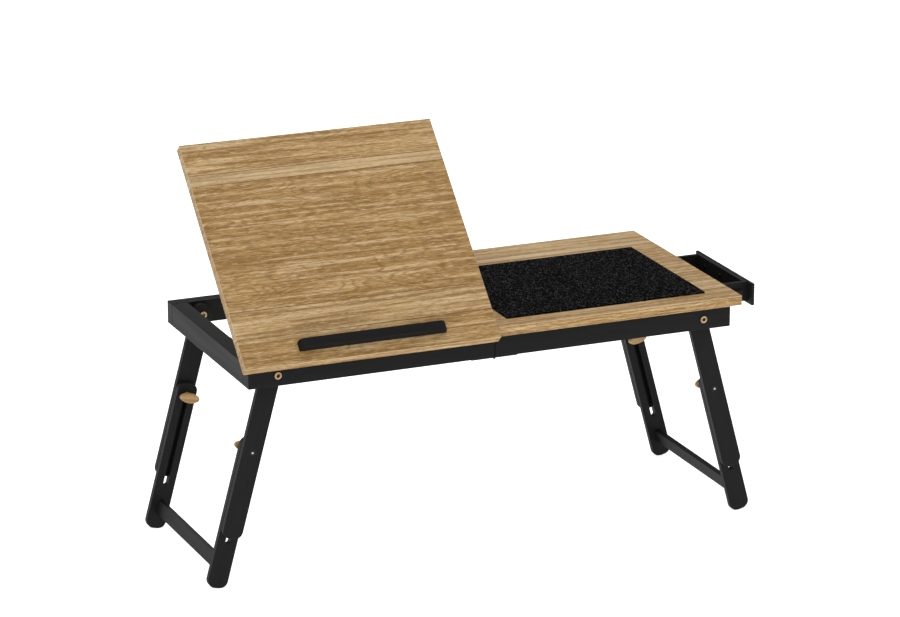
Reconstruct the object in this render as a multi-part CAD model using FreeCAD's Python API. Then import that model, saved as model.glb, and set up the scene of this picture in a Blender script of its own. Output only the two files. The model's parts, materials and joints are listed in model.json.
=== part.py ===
import FreeCAD
import Part
import math
import os

# A folding lap desk in two equal halves. The left half carries a board that tilts up for a laptop,
# the right half a fixed top with a mouse pad and a drawer. X runs along the desk from left to right,
# Y from front to back, Z up from the floor. Lengths are in millimetres, angles in degrees.

# Driving sizes of the frame and the tops
frame_length = 631.0
frame_depth = 285.0
rail_height = 28.5
rail_width = 17.4
mid_rail_width = 11.0
top_thickness = 12.5
end_overhang = 10.6
front_overhang = 10.0
rear_overhang = 13.0
seam_gap = 0.6
edge_round = 0.8

# Driving sizes of the legs
leg_width = 25.4
leg_thickness = 8.6
leg_pivot_inset = 36.8
leg_pivot_drop = 15.4
leg_splay_deg = 15.0
upper_leg_reach = 210.3
lower_leg_top_reach = 86.2
foot_reach = 275.7
foot_flat_depth = 0.5
clamp_reach = 102.0
slot_length = 114.4
crossbar_foot_margin = 28.1
crossbar_width = 17.0
crossbar_thickness = 6.5
leg_edge_round = 1.0
leg_end_round = 9.8

# Driving sizes of the tilting board and its prop
tilt_rest_deg = 44.65
hinge_axis_out = 3.3
hinge_axis_drop = 3.8
prop_arm_length = 68.0
prop_rod_radius = 3.0
rack_lower_stage_degs = (14.0, 24.0, 31.5, 38.5)
tilt_steepest_deg = 50.0

# Driving sizes of the drawer
drawer_front_lap = 12.5
drawer_front_height = 28.5
drawer_front_thickness = 4.0
drawer_box_width = 133.0
drawer_box_height = 25.0
drawer_box_depth = 185.0
drawer_wall = 5.0
drawer_open_at_rest = 63.6
drawer_offset = 3.8

# Clearances
running_fit = 0.05
slide_gap = 0.3
leg_gap = 0.5
stop_gap = 0.06
lid_gap = 0.3
mid_rail_end_gap = 4.5
overrun = 5.0
parallel_share = 0.999

# Places that follow from the driving sizes
Vector = FreeCAD.Vector
X_AXIS = Vector(1, 0, 0)
Y_AXIS = Vector(0, 1, 0)
Z_AXIS = Vector(0, 0, 1)
half_length = frame_length / 2
half_depth = frame_depth / 2
half_seam = seam_gap / 2
leg_radius = leg_width / 2
crossbar_reach = foot_reach - crossbar_foot_margin
splay = math.radians(leg_splay_deg)
pivot_x = half_length - leg_pivot_inset
foot_corner_reach = foot_reach - leg_end_round
foot_corner_offset = leg_radius - leg_end_round
foot_corner_height = leg_end_round - foot_flat_depth
pivot_z = foot_corner_reach * math.cos(splay) + foot_corner_offset * math.sin(splay) + foot_corner_height
rail_top = pivot_z + leg_pivot_drop
rail_bottom = rail_top - rail_height
rail_inner_y = half_depth - rail_width
stop_drop = rail_height - leg_pivot_drop - edge_round
stop_reach = (leg_radius + edge_round + stop_gap + stop_drop * math.sin(splay)) / math.cos(splay)
end_rail_inner_x = pivot_x + stop_reach - edge_round
mid_rail_inner_x = half_seam + mid_rail_width
board_bottom = rail_top + lid_gap
board_top = rail_top + top_thickness
board_front_y = -half_depth - front_overhang
board_rear_y = half_depth + rear_overhang
board_end_x = half_length + end_overhang
hinge_y = -half_depth - hinge_axis_out
hinge_z = rail_top - hinge_axis_drop
LEFT, RIGHT = -1, 1
FRONT, REAR = -1, 1
LEG_ENDS = (("left", LEFT), ("right", RIGHT))
BANKS = (("front", FRONT), ("rear", REAR))

# The stack across each leg, from the rail inwards
upper_leg_outer_y = rail_inner_y - leg_gap
upper_leg_inner_y = upper_leg_outer_y - leg_thickness
lower_leg_outer_y = upper_leg_inner_y - slide_gap
lower_leg_inner_y = lower_leg_outer_y - leg_thickness
knob_outer_y = lower_leg_inner_y - slide_gap
mid_rail_end_y = lower_leg_inner_y - mid_rail_end_gap


def block(x_range, y_range, z_range):
    """A box between two values on each axis, given in either order."""
    low = Vector(min(x_range), min(y_range), min(z_range))
    high = Vector(max(x_range), max(y_range), max(z_range))
    size = high - low
    return Part.makeBox(size.x, size.y, size.z, low)


def rounded_block(x_range, y_range, z_range, radius):
    body = block(x_range, y_range, z_range)
    return body.makeFillet(radius, body.Edges)


def rod(radius, start, end):
    """A round bar from one point to another."""
    run = end - start
    return Part.makeCylinder(radius, run.Length, start, run)


def rod_x(radius, x_range, y, z):
    return rod(radius, Vector(min(x_range), y, z), Vector(max(x_range), y, z))


def rod_y(radius, x, y_range, z):
    return rod(radius, Vector(x, min(y_range), z), Vector(x, max(y_range), z))


def tube_y(outer, bore, x, y_range, z):
    return rod_y(outer, x, y_range, z).cut(rod_y(bore, x, y_range, z))


def joined(first, *others):
    """Pieces of one solid, fused."""
    body = first
    for other in others:
        body = body.fuse(other)
    return body.removeSplitter()


def edges_along(shape, direction):
    """The straight edges that run along a unit direction."""
    found = []
    for edge in shape.Edges:
        start, end = edge.Vertexes[0].Point, edge.Vertexes[-1].Point
        run = end - start
        if run.Length > 0 and abs(run.normalize().dot(direction)) > parallel_share:
            found.append(edge)
    return found


def strip(radius, top_reach, bottom_reach, y_range):
    """A flat bar with round ends about two points below the origin, thick along Y."""
    top, bottom = -top_reach, -bottom_reach
    y = min(y_range)
    upper_left, upper_right = Vector(-radius, y, top), Vector(radius, y, top)
    lower_left, lower_right = Vector(-radius, y, bottom), Vector(radius, y, bottom)
    outline = Part.Wire([
        Part.Arc(upper_left, Vector(0, y, top + radius), upper_right).toShape(),
        Part.LineSegment(upper_right, lower_right).toShape(),
        Part.Arc(lower_right, Vector(0, y, bottom - radius), lower_left).toShape(),
        Part.LineSegment(lower_left, upper_left).toShape(),
    ])
    return Part.Face(outline).extrude(Vector(0, max(y_range) - y, 0))


def leg_bar(top_reach, bottom_reach, y_range):
    """A leg's flat bar, its corners rounded, between two reaches below the origin."""
    body = block((-leg_radius, leg_radius), y_range, (-bottom_reach, -top_reach))
    body = body.makeFillet(leg_end_round, edges_along(body, Y_AXIS))
    return body.makeFillet(leg_edge_round, body.Edges)


def on_leg(shape, side):
    """Turns a shape that hangs below the origin into a splayed leg at its pivot."""
    placed = shape.rotated(Vector(0, 0, 0), Y_AXIS, -side * leg_splay_deg)
    return placed.translated(Vector(side * pivot_x, 0, pivot_z))


def leg_point(side, reach):
    """X and Z of the point on a leg's centre line that lies a reach from the pivot."""
    return side * (pivot_x + reach * math.sin(splay)), pivot_z - reach * math.cos(splay)


def tilted(shape):
    """Turns a piece of the flat board's set to its place on the raised board."""
    return shape.rotated(Vector(0, hinge_y, hinge_z), X_AXIS, tilt_rest_deg)


def long_rail(side, bank):
    """A front or rear rail of one half, bored for the leg pivot."""
    body = rounded_block(
        (side * half_seam, side * half_length),
        (bank * rail_inner_y, bank * half_depth),
        (rail_bottom, rail_top),
        edge_round,
    )
    bore = rod_y(pivot_bolt_radius + running_fit, side * pivot_x, (-board_end_x, board_end_x), pivot_z)
    return body.cut(bore)


def left_end_rail():
    """The rail across the left end, whose lower edge stops the left legs."""
    x_range = (-half_length, -end_rail_inner_x)
    return rounded_block(x_range, (-rail_inner_y, rail_inner_y), (rail_bottom, rail_top), edge_round)


def mid_rail(side):
    """A rail along the seam, short of the folded legs at both its ends."""
    x_range = (side * half_seam, side * mid_rail_inner_x)
    y_range = (-mid_rail_end_y, mid_rail_end_y)
    return rounded_block(x_range, y_range, (rail_bottom, rail_top), edge_round)


# Tie strap: a thin steel strip that passes over the folded legs and holds the left mid rail
strap_thickness = 1.2
strap_width = 8.0
strap_bite = 14.0
strap_inset = 1.5


def tie_strap():
    """A strip let in flush with the tops of three left rails."""
    near = -half_seam - strap_inset
    reach = rail_inner_y + strap_bite
    return block((near - strap_width, near), (-reach, reach), (rail_top - strap_thickness, rail_top))


def strap_pocket():
    return tie_strap().fuse(tie_strap().translated(Vector(0, 0, strap_thickness)))


# Tilt hinges: two three-knuckle hinges let into the front rail and the board's underside
hinge_length = 50.0
hinge_inset = 37.0
hinge_leaf_thickness = 1.2
hinge_leaf_reach = 13.0
hinge_barrel_radius = 3.0
hinge_pin_radius = 1.5
hinge_knuckle = 14.0


def tilt_hinge_starts():
    """The left end of each tilt hinge along X."""
    first = -board_end_x + hinge_inset
    last = -half_seam - hinge_inset - hinge_length
    return first, last


def hinge_leaf_rear_y():
    return -half_depth + hinge_leaf_reach


def fixed_leaf(start):
    """The hinge half on the rail: a plate and its two outer knuckles."""
    end = start + hinge_length
    plate_z = (rail_top - hinge_leaf_thickness, rail_top)
    plate = block((start, end), (-half_depth, hinge_leaf_rear_y()), plate_z)
    solids = [plate]
    for x_range in ((start, start + hinge_knuckle), (end - hinge_knuckle, end)):
        solids.append(block(x_range, (hinge_y, -half_depth), plate_z))
        solids.append(rod_x(hinge_barrel_radius, x_range, hinge_y, hinge_z))
    body = joined(*solids)
    return body.cut(rod_x(hinge_pin_radius + running_fit, (start, end), hinge_y, hinge_z))


def moving_leaf(start):
    """The hinge half under the board: a plate, a tab and the middle knuckle."""
    end = start + hinge_length
    inner = (start + hinge_knuckle + slide_gap, end - hinge_knuckle - slide_gap)
    front_y = hinge_y - hinge_barrel_radius
    plate_top = board_bottom + hinge_leaf_thickness
    plate = block((start, end), (front_y, hinge_leaf_rear_y()), (board_bottom, plate_top))
    tab = block(inner, (front_y, front_y + hinge_leaf_thickness), (hinge_z, plate_top))
    barrel = rod_x(hinge_barrel_radius, inner, hinge_y, hinge_z)
    body = joined(plate, tab, barrel)
    return tilted(body.cut(rod_x(hinge_pin_radius + running_fit, (start, end), hinge_y, hinge_z)))


def tilt_hinge_pins():
    pins = []
    for start in tilt_hinge_starts():
        pins.append(rod_x(hinge_pin_radius, (start, start + hinge_length), hinge_y, hinge_z))
    return Part.makeCompound(pins)


def left_front_rail():
    """The left front rail, with pockets for the tie strap and each tilt hinge."""
    body = long_rail(LEFT, FRONT).cut(strap_pocket())
    for start in tilt_hinge_starts():
        pocket = block(
            (start, start + hinge_length),
            (-half_depth - overrun, hinge_leaf_rear_y()),
            (rail_top - hinge_leaf_thickness, rail_top + overrun),
        )
        body = body.cut(pocket)
    return body


# Fold hinges: one under each long rail, where the two halves meet
fold_leaf_length = 30.0
fold_hinge_width = 14.0
fold_leaf_thickness = 1.2
fold_axis_drop = 1.5
fold_barrel_radius = 1.3
fold_pin_radius = 0.65
fold_end_knuckle = 4.4
fold_axis_z = rail_bottom - fold_axis_drop
fold_hinge_y = half_depth - rail_width / 2


def fold_knuckles(bank, side):
    """The Y ranges of the knuckles that one leaf of a fold hinge carries."""
    low = bank * fold_hinge_y - fold_hinge_width / 2
    high = low + fold_hinge_width
    if side == LEFT:
        return (low, low + fold_end_knuckle), (high - fold_end_knuckle, high)
    return ((low + fold_end_knuckle + slide_gap, high - fold_end_knuckle - slide_gap),)


def fold_leaf(side, bank):
    """One leaf of a fold hinge, flat on the underside of a rail."""
    centre = bank * fold_hinge_y
    plate_z = (rail_bottom - fold_leaf_thickness, rail_bottom)
    y_range = (centre - fold_hinge_width / 2, centre + fold_hinge_width / 2)
    clear_x = side * (fold_barrel_radius + slide_gap)
    solids = [block((clear_x, side * fold_leaf_length), y_range, plate_z)]
    for knuckle in fold_knuckles(bank, side):
        solids.append(block((0, clear_x), knuckle, plate_z))
        solids.append(rod_y(fold_barrel_radius, 0, knuckle, fold_axis_z))
    body = joined(*solids)
    return body.cut(rod_y(fold_pin_radius + running_fit, 0, y_range, fold_axis_z))


def fold_hinge_pins():
    pins = []
    for _, bank in BANKS:
        centre = bank * fold_hinge_y
        y_range = (centre - fold_hinge_width / 2, centre + fold_hinge_width / 2)
        pins.append(rod_y(fold_pin_radius, 0, y_range, fold_axis_z))
    return Part.makeCompound(pins)


# Racks: notched strips on which the prop's foot bar stands, inside the left frame
rack_thickness = 8.0
rack_height = 12.0
rack_end_margin = 7.0
notch_radius = 3.3


def foot_bar_y(angle_deg):
    """Where the prop's foot bar stands when the board is raised by an angle."""
    return hinge_y + 2 * prop_arm_length * math.cos(math.radians(angle_deg))


def tilt_rack(x_range):
    """A strip with one notch for each step of the board."""
    top = hinge_z - prop_rod_radius - slide_gap
    places = [foot_bar_y(angle) for angle in (*rack_lower_stage_degs, tilt_rest_deg, tilt_steepest_deg)]
    y_range = (min(places) - rack_end_margin, max(places) + rack_end_margin)
    body = block(x_range, y_range, (top - rack_height, top))
    for y in places:
        body = body.cut(rod_x(notch_radius, (-board_end_x, board_end_x), y, top))
    return body


# Leg pivots: a bolt through each long rail and upper leg, with a flanged nut inside
pivot_bolt_radius = 3.0
pivot_head_radius = 4.5
pivot_head_height = 1.5
pivot_socket_radius = 2.6
pivot_socket_depth = 2.8
end_socket_radius = 2.2
end_socket_depth = 1.6
socket_sides = 6
pivot_nut_thickness = 2.2


def pivot_nut_y():
    outer = upper_leg_inner_y - slide_gap
    return outer, outer - pivot_nut_thickness


def hexagon(radius, x, y_range, z):
    """A six-sided bar along Y."""
    y = min(y_range)
    corners = []
    for corner in range(socket_sides + 1):
        angle = math.tau * corner / socket_sides
        corners.append(Vector(x + radius * math.cos(angle), y, z + radius * math.sin(angle)))
    return Part.Face(Part.makePolygon(corners)).extrude(Vector(0, max(y_range) - y, 0))


def pivot_bolts(side):
    """The two pivot bolts of one end, with a socket in the head and one in the inner end."""
    bolts = []
    x = side * pivot_x
    for _, bank in BANKS:
        head_y = half_depth + pivot_head_height
        head = rod_y(pivot_head_radius, x, (bank * half_depth, bank * head_y), pivot_z)
        shank = rod_y(pivot_bolt_radius, x, (bank * pivot_nut_y()[1], bank * half_depth), pivot_z)
        socket_y = (bank * (head_y - pivot_socket_depth), bank * (head_y + overrun))
        body = joined(head, shank).cut(hexagon(pivot_socket_radius, x, socket_y, pivot_z))
        tip_y = pivot_nut_y()[1]
        end_socket_y = (bank * (tip_y - overrun), bank * (tip_y + end_socket_depth))
        bolts.append(body.cut(hexagon(end_socket_radius, x, end_socket_y, pivot_z)))
    return Part.makeCompound(bolts)


def pivot_nuts(side):
    nuts = []
    for _, bank in BANKS:
        y_range = [bank * y for y in pivot_nut_y()]
        bore = pivot_bolt_radius + running_fit
        nuts.append(tube_y(pivot_head_radius, bore, side * pivot_x, y_range, pivot_z))
    return Part.makeCompound(nuts)


# Clamps: a flush bolt in each upper leg, through the lower leg's slot, into a wooden knob
clamp_bolt_radius = 3.0
clamp_head_radius = 3.6
clamp_head_depth = 2.5
slot_play = 0.1
knob_length = 25.2
knob_width = 12.2
knob_thickness = 6.5
knob_neck_length = 7.6
knob_neck_radius = 4.6
knob_bore_depth = 11.0
knob_round = 1.6
slot_radius = clamp_bolt_radius + slot_play


def upper_leg(side, bank):
    """A bar that turns on the pivot bolt and holds the clamp bolt."""
    y_range = (bank * upper_leg_inner_y, bank * upper_leg_outer_y)
    body = leg_bar(-leg_radius, upper_leg_reach, y_range)
    through = (-half_depth, half_depth)
    head_y = (bank * (upper_leg_outer_y - clamp_head_depth), bank * half_depth)
    body = body.cut(rod_y(pivot_bolt_radius + running_fit, 0, through, 0))
    body = body.cut(rod_y(clamp_bolt_radius + running_fit, 0, through, -clamp_reach))
    body = body.cut(rod_y(clamp_head_radius + running_fit, 0, head_y, -clamp_reach))
    return on_leg(body, side)


def clamp_bolts(side):
    bolts = []
    for _, bank in BANKS:
        head_inner = upper_leg_outer_y - clamp_head_depth
        tip = knob_outer_y - knob_bore_depth + slide_gap
        head = rod_y(clamp_head_radius, 0, (bank * head_inner, bank * upper_leg_outer_y), -clamp_reach)
        shank = rod_y(clamp_bolt_radius, 0, (bank * tip, bank * head_inner), -clamp_reach)
        bolts.append(on_leg(joined(head, shank), side))
    return Part.makeCompound(bolts)


def lower_leg(side, bank):
    """The slotted bar that slides along the upper leg, cut flat where it stands on the floor."""
    y_range = (bank * lower_leg_inner_y, bank * lower_leg_outer_y)
    body = leg_bar(lower_leg_top_reach, foot_reach, y_range)
    through = (-half_depth, half_depth)
    body = body.cut(strip(slot_radius, clamp_reach, clamp_reach + slot_length, through))
    body = on_leg(body, side)
    x = leg_point(side, foot_reach)[0]
    below = block((x - leg_width, x + leg_width), through, (-overrun, 0))
    return body.cut(below)


def crossbar(side):
    """The flat bar that ties the two lower legs of one end."""
    half_thickness = crossbar_thickness / 2
    bar = block(
        (-half_thickness, half_thickness),
        (-lower_leg_inner_y, lower_leg_inner_y),
        (-crossbar_reach - crossbar_width / 2, -crossbar_reach + crossbar_width / 2),
    )
    return on_leg(bar, side)


def knob(side, bank):
    """An oval wooden knob on a round neck, with a blind bore for the clamp bolt."""
    neck_y = knob_outer_y - knob_neck_length
    y = min(bank * neck_y, bank * (neck_y - knob_thickness))
    centre = Vector(0, y, -clamp_reach)
    tip = centre + Vector(knob_length / 2, 0, 0)
    flank = centre + Vector(0, 0, knob_width / 2)
    oval = Part.Ellipse(tip, flank, centre).toShape()
    body = Part.Face(Part.Wire([oval])).extrude(Vector(0, knob_thickness, 0))
    body = body.makeFillet(knob_round, body.Edges)
    body = joined(body, rod_y(knob_neck_radius, 0, (bank * neck_y, bank * knob_outer_y), -clamp_reach))
    bore_y = (bank * (knob_outer_y - knob_bore_depth), bank * (knob_outer_y + overrun))
    body = body.cut(rod_y(clamp_bolt_radius + running_fit, 0, bore_y, -clamp_reach))
    return on_leg(body, side)


# Tilting board, its front ledge and the screws that hold the ledge from below
ledge_hinge_lap = 20.0
ledge_offset = 2.4
ledge_depth = 12.3
ledge_height = 10.8
ledge_setback = 15.2
ledge_end_round = 7.2
ledge_top_round = 1.2
ledge_screw_radius = 1.75
ledge_screw_head_radius = 3.6
ledge_screw_head_depth = 2.0
ledge_screw_bite = 7.0
ledge_screw_margin = 11.2
board_centre_x = -(board_end_x + half_seam) / 2
ledge_end_x = tilt_hinge_starts()[1] + ledge_hinge_lap
ledge_centre_x = board_centre_x + ledge_offset
ledge_half = ledge_end_x - ledge_centre_x
ledge_front_y = board_front_y + ledge_setback
ledge_centre_y = ledge_front_y + ledge_depth / 2


def ledge_screw(x, clearance):
    """One ledge screw, or with a clearance the hole that takes it."""
    head_top = board_bottom + ledge_screw_head_depth
    tip = board_top + ledge_screw_bite + clearance
    head = rod(
        ledge_screw_head_radius + clearance,
        Vector(x, ledge_centre_y, board_bottom),
        Vector(x, ledge_centre_y, head_top),
    )
    shank = rod(
        ledge_screw_radius + clearance,
        Vector(x, ledge_centre_y, head_top),
        Vector(x, ledge_centre_y, tip),
    )
    return joined(head, shank)


def ledge_screw_places():
    """X of the three ledge screws: one at the middle and one beside each tilt hinge."""
    first, last = tilt_hinge_starts()
    return first + hinge_length + ledge_screw_margin, board_centre_x, last - ledge_screw_margin


def ledge_screws():
    return Part.makeCompound([tilted(ledge_screw(x, 0)) for x in ledge_screw_places()])


def tilt_board():
    """The left top, which rests on the frame when it is let down."""
    body = rounded_block(
        (-board_end_x, -half_seam),
        (board_front_y, board_rear_y),
        (board_bottom, board_top),
        edge_round,
    )
    for start in tilt_hinge_starts():
        pocket = block(
            (start, start + hinge_length),
            (hinge_y - hinge_barrel_radius, hinge_leaf_rear_y()),
            (board_bottom - overrun, board_bottom + hinge_leaf_thickness),
        )
        body = body.cut(pocket)
    for x in ledge_screw_places():
        body = body.cut(ledge_screw(x, running_fit))
    return tilted(body)


def laptop_ledge():
    """A low bar near the board's front edge, rounded over at its ends and along its top."""
    body = block(
        (ledge_centre_x - ledge_half, ledge_centre_x + ledge_half),
        (ledge_front_y, ledge_front_y + ledge_depth),
        (board_top, board_top + ledge_height),
    )
    ends = [edge for edge in edges_along(body, Y_AXIS) if edge.CenterOfMass.z > body.CenterOfMass.z]
    body = body.makeFillet(ledge_end_round, ends)
    top = max(body.Faces, key=lambda face: face.CenterOfMass.z)
    body = body.makeFillet(ledge_top_round, edges_along(top, X_AXIS))
    for x in ledge_screw_places():
        body = body.cut(ledge_screw(x, running_fit))
    return tilted(body)


# Prop: two bent arms hung from brackets under the board, welded to a foot bar
bracket_inset = 2.0
bracket_width = 7.5
bracket_half_depth = 6.0
bracket_wall = 2.5
bracket_gap = 1.5
bay_left_x = -end_rail_inner_x
bay_right_x = -mid_rail_inner_x
bay_centre_x = (bay_left_x + bay_right_x) / 2
bay_half = (bay_right_x - bay_left_x) / 2
prop_pivot_y = hinge_y + prop_arm_length
bracket_outer = bay_half - bracket_inset
bracket_inner = bracket_outer - bracket_width
prop_arm_offset = bracket_inner - bracket_gap - prop_rod_radius
foot_bar_half = bay_half - slide_gap - edge_round


def prop_bracket(side):
    """A block under the board with a bore for one end of the prop."""
    x_range = (bay_centre_x + side * bracket_inner, bay_centre_x + side * bracket_outer)
    low = hinge_z - prop_rod_radius - bracket_wall
    body = block(
        x_range,
        (prop_pivot_y - bracket_half_depth, prop_pivot_y + bracket_half_depth),
        (low, board_bottom),
    )
    lower_edges = [edge for edge in edges_along(body, X_AXIS) if edge.CenterOfMass.z < hinge_z]
    body = body.makeFillet(bracket_wall, lower_edges)
    bore = rod_x(prop_rod_radius + running_fit, (-board_end_x, board_end_x), prop_pivot_y, hinge_z)
    return tilted(body.cut(bore))


def prop_foot_bar():
    """The bar that stands on the racks."""
    reach = (bay_centre_x - foot_bar_half, bay_centre_x + foot_bar_half)
    return rod_x(prop_rod_radius, reach, foot_bar_y(tilt_rest_deg), hinge_z)


def prop_arm(side):
    """A bent rod from the foot bar to its bore in a bracket, welded to the bar."""
    rise = math.radians(tilt_rest_deg)
    x = bay_centre_x + side * prop_arm_offset
    end_x = bay_centre_x + side * (bracket_outer - slide_gap)
    bend_y = hinge_y + prop_arm_length * math.cos(rise)
    bend_z = hinge_z + prop_arm_length * math.sin(rise)
    bend = Vector(x, bend_y, bend_z)
    arm = rod(prop_rod_radius, Vector(x, foot_bar_y(tilt_rest_deg), hinge_z), bend)
    corner = Part.makeSphere(prop_rod_radius, bend)
    stub = rod_x(prop_rod_radius, (x, end_x), bend_y, bend_z)
    return joined(arm, corner, stub).cut(prop_foot_bar())


# Fixed top and mouse pad
pad_left_margin = 22.0
pad_length = 266.0
pad_front_margin = 25.8
pad_depth = 210.0
pad_thickness = 2.0


def fixed_top():
    return rounded_block(
        (half_seam, board_end_x),
        (board_front_y, board_rear_y),
        (rail_top, board_top),
        edge_round,
    )


def mouse_pad():
    left = half_seam + pad_left_margin
    front = board_front_y + pad_front_margin
    top = board_top + pad_thickness
    return block((left, left + pad_length), (front, front + pad_depth), (board_top, top))


# Drawer and the two grooved runners that carry it under the fixed top
drawer_top_gap = 1.1
drawer_wall_drop = 1.4
drawer_bottom_thickness = 3.0
drawer_bottom_raise = 1.2
drawer_groove_depth = 2.0
tongue_width = 4.5
tongue_height = 6.0
tongue_front_gap = 8.0
runner_height = 24.0
runner_width = 12.2
drawer_front_back_x = half_length + slide_gap + drawer_open_at_rest
drawer_box_back_x = drawer_front_back_x - drawer_box_depth
drawer_box_top = rail_top - drawer_wall_drop
drawer_box_bottom = drawer_box_top - drawer_box_height
drawer_half = drawer_box_width / 2
drawer_front_half = drawer_half + drawer_front_lap
drawer_inner_half = drawer_half - drawer_wall
tongue_z = drawer_box_top - drawer_box_height / 2
runner_inner_y = drawer_half + slide_gap
runner_outer_y = runner_inner_y + runner_width


def off_centre(shape):
    """Moves a piece of the drawer's set back from the desk's middle line to its place."""
    return shape.translated(Vector(0, drawer_offset, 0))


def drawer_front():
    top = rail_top - drawer_top_gap
    return rounded_block(
        (drawer_front_back_x, drawer_front_back_x + drawer_front_thickness),
        (-drawer_front_half, drawer_front_half),
        (top - drawer_front_height, top),
        edge_round,
    )


def drawer_bottom():
    """A thin board held in grooves in the four walls."""
    low = drawer_box_bottom + drawer_bottom_raise
    inset = drawer_wall - drawer_groove_depth
    return block(
        (drawer_box_back_x + inset, drawer_front_back_x - inset),
        (-drawer_half + inset, drawer_half - inset),
        (low, low + drawer_bottom_thickness),
    )


def drawer_side(bank):
    """A side wall with the tongue that slides in the runner."""
    wall = block(
        (drawer_box_back_x, drawer_front_back_x),
        (bank * drawer_inner_half, bank * drawer_half),
        (drawer_box_bottom, drawer_box_top),
    )
    tongue = block(
        (drawer_box_back_x, drawer_front_back_x - tongue_front_gap),
        (bank * drawer_half, bank * (drawer_half + tongue_width)),
        (tongue_z - tongue_height / 2, tongue_z + tongue_height / 2),
    )
    return joined(wall, tongue).cut(drawer_bottom())


def drawer_end(x_range):
    """A wall between the two sides."""
    wall = block(x_range, (-drawer_inner_half, drawer_inner_half), (drawer_box_bottom, drawer_box_top))
    return wall.cut(drawer_bottom())


def drawer_runner(bank):
    """A strip under the fixed top, with a groove for the drawer's tongue."""
    back_x = drawer_box_back_x - drawer_open_at_rest
    body = block(
        (back_x, half_length),
        (bank * runner_inner_y, bank * runner_outer_y),
        (rail_top - runner_height, rail_top),
    )
    half = tongue_height / 2 + slide_gap
    groove = block(
        (back_x - overrun, half_length + overrun),
        (0, bank * (drawer_half + tongue_width + slide_gap)),
        (tongue_z - half, tongue_z + half),
    )
    return body.cut(groove)


def end_block(bank):
    """The short end rail between the drawer's runner and a long rail."""
    return rounded_block(
        (end_rail_inner_x, half_length),
        (drawer_offset + bank * (runner_outer_y + slide_gap), bank * rail_inner_y),
        (rail_bottom, rail_top),
        edge_round,
    )


def footprint_centre():
    """The middle of the whole stand's box, as it stands with the board raised and the drawer open."""
    left = leg_point(LEFT, foot_corner_reach)[0] - foot_corner_offset * math.cos(splay) - leg_end_round
    right = drawer_front_back_x + drawer_front_thickness
    tilt = math.radians(tilt_rest_deg)
    edge_y = board_front_y + edge_round - hinge_y
    edge_z = board_top - edge_round - hinge_z
    front = hinge_y + edge_y * math.cos(tilt) - edge_z * math.sin(tilt) - edge_round
    return Vector((left + right) / 2, (front + board_rear_y) / 2, 0)


def frame_nodes():
    """Both halves of the frame, with their hinges, racks, bolts and tops."""
    nodes = {
        "left_front_rail": left_front_rail(),
        "left_rear_rail": long_rail(LEFT, REAR).cut(strap_pocket()),
        "left_end_rail": left_end_rail(),
        "left_mid_rail": mid_rail(LEFT).cut(strap_pocket()),
        "tie_strap": tie_strap(),
        "right_front_rail": long_rail(RIGHT, FRONT),
        "right_rear_rail": long_rail(RIGHT, REAR),
        "right_mid_rail": mid_rail(RIGHT),
        "tilt_rack_outer": tilt_rack((bay_left_x, bay_left_x + rack_thickness)),
        "tilt_rack_inner": tilt_rack((bay_right_x - rack_thickness, bay_right_x)),
        "tilt_hinge_pins": tilt_hinge_pins(),
        "fold_hinge_pins": fold_hinge_pins(),
        "fixed_top": fixed_top(),
        "mouse_pad": mouse_pad(),
    }
    for number, start in enumerate(tilt_hinge_starts(), 1):
        nodes[f"tilt_hinge_fixed_leaf_{number}"] = fixed_leaf(start)
    for bank_name, bank in BANKS:
        nodes[f"right_end_block_{bank_name}"] = end_block(bank)
        nodes[f"drawer_runner_{bank_name}"] = off_centre(drawer_runner(bank))
    for end_name, side in LEG_ENDS:
        nodes[f"{end_name}_pivot_bolts"] = pivot_bolts(side)
        nodes[f"{end_name}_pivot_nuts"] = pivot_nuts(side)
        for bank_name, bank in BANKS:
            nodes[f"fold_hinge_{end_name}_leaf_{bank_name}"] = fold_leaf(side, bank)
    return nodes


def board_nodes():
    """The tilting board with its ledge, hinge leaves and prop."""
    nodes = {
        "tilt_board": tilt_board(),
        "laptop_ledge": laptop_ledge(),
        "ledge_screws": ledge_screws(),
        "prop_bracket_outer": prop_bracket(LEFT),
        "prop_bracket_inner": prop_bracket(RIGHT),
        "prop_foot_bar": prop_foot_bar(),
        "prop_arm_outer": prop_arm(LEFT),
        "prop_arm_inner": prop_arm(RIGHT),
    }
    for number, start in enumerate(tilt_hinge_starts(), 1):
        nodes[f"tilt_hinge_moving_leaf_{number}"] = moving_leaf(start)
    return nodes


def leg_nodes():
    nodes = {}
    for end_name, side in LEG_ENDS:
        nodes[f"{end_name}_clamp_bolts"] = clamp_bolts(side)
        nodes[f"{end_name}_crossbar"] = crossbar(side)
        for bank_name, bank in BANKS:
            nodes[f"{end_name}_{bank_name}_upper_leg"] = upper_leg(side, bank)
            nodes[f"{end_name}_{bank_name}_lower_leg"] = lower_leg(side, bank)
            nodes[f"{end_name}_{bank_name}_knob"] = knob(side, bank)
    return nodes


def drawer_nodes():
    front_wall = (drawer_front_back_x - drawer_wall, drawer_front_back_x)
    back_wall = (drawer_box_back_x, drawer_box_back_x + drawer_wall)
    pieces = {
        "drawer_front": drawer_front(),
        "drawer_side_front": drawer_side(FRONT),
        "drawer_side_rear": drawer_side(REAR),
        "drawer_inner_wall": drawer_end(front_wall),
        "drawer_back_wall": drawer_end(back_wall),
        "drawer_bottom": drawer_bottom(),
    }
    return {name: off_centre(shape) for name, shape in pieces.items()}


def write_parts():
    os.makedirs("parts", exist_ok=True)
    centre = footprint_centre()
    nodes = {**frame_nodes(), **board_nodes(), **leg_nodes(), **drawer_nodes()}
    for name, shape in sorted(nodes.items()):
        shape.translated(-centre).exportStep(f"parts/{name}.step")
        print(name, len(shape.Solids), "solids", round(shape.Volume), "mm3", shape.isValid())
    print(len(nodes), "nodes, origin at", centre, "rail top at", rail_top)


write_parts()
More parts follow.
